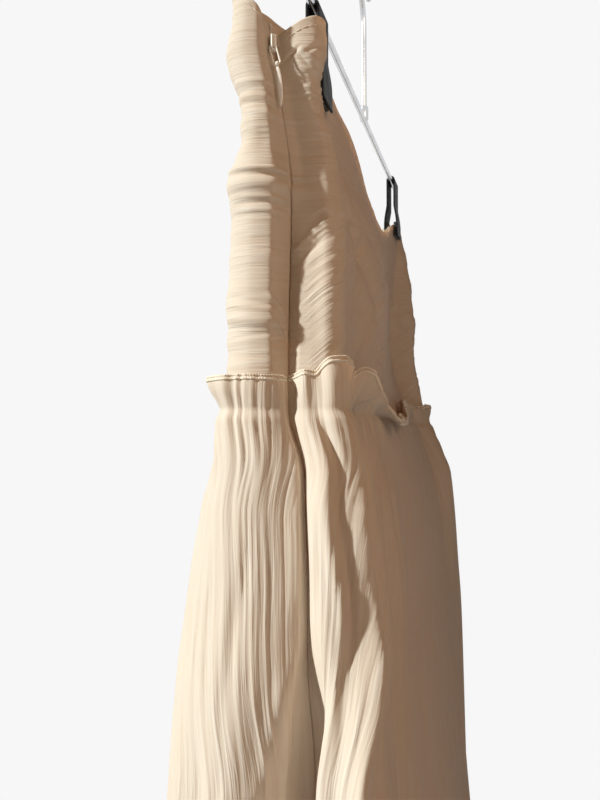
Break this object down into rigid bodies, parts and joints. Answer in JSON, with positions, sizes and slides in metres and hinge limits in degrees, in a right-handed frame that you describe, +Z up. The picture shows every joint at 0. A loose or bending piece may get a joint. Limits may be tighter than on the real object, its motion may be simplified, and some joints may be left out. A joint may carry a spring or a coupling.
{
  "type": "maxi skirt on a clip hanger",
  "caption": "Long gathered skirt of crinkle chiffon with a hip yoke, a ruffle and a side zip, hanging flat from a wire clip hanger.",
  "frame": {"origin": "inside top of the hanger's hook, where the rail holds it", "axes": "+Z up, -Y the front of the skirt, +X the side seam with the zip"},
  "size_m": [0.5771, 0.2042, 1.1136],
  "materials": {
    "chiffon": "crinkled, soft, matt with a faint sheen",
    "zip_tape": "woven tape",
    "zip_metal": "cream enamel, satin",
    "hanger_steel": "bright plated wire",
    "clip_steel": "glossy black enamel",
    "grip_rubber": "matt black"
  },
  "bodies": {
    "skirt_and_hanger": {"yoke_front": "chiffon", "yoke_back": "chiffon", "tier_front": "chiffon", "tier_back": "chiffon", "zip_tape_front": "zip_tape", "zip_tape_back": "zip_tape", "zip_slider": "zip_metal", "hanger_wire": "hanger_steel", "clip_near_spring": "clip_steel", "clip_near_grip_front": "grip_rubber", "clip_near_grip_back": "grip_rubber", "clip_far_spring": "clip_steel", "clip_far_grip_front": "grip_rubber", "clip_far_grip_back": "grip_rubber"},
    "pull_link": {"zip_pull_link": "zip_metal"},
    "pull_tab": {"zip_pull_tab": "zip_metal"}
  },
  "joints": [
    {"name": "link_swing", "type": "hinge", "parent": "skirt_and_hanger", "child": "pull_link", "pos_m": [0.1769, -0.01278, -0.143], "axis": [0, -1, 0], "range_deg": [0, 120]},
    {"name": "tab_swing", "type": "hinge", "parent": "pull_link", "child": "pull_tab", "pos_m": [0.1769, -0.0105, -0.1515], "axis": [0, -1, 0], "range_deg": [0, 60]}
  ]
}
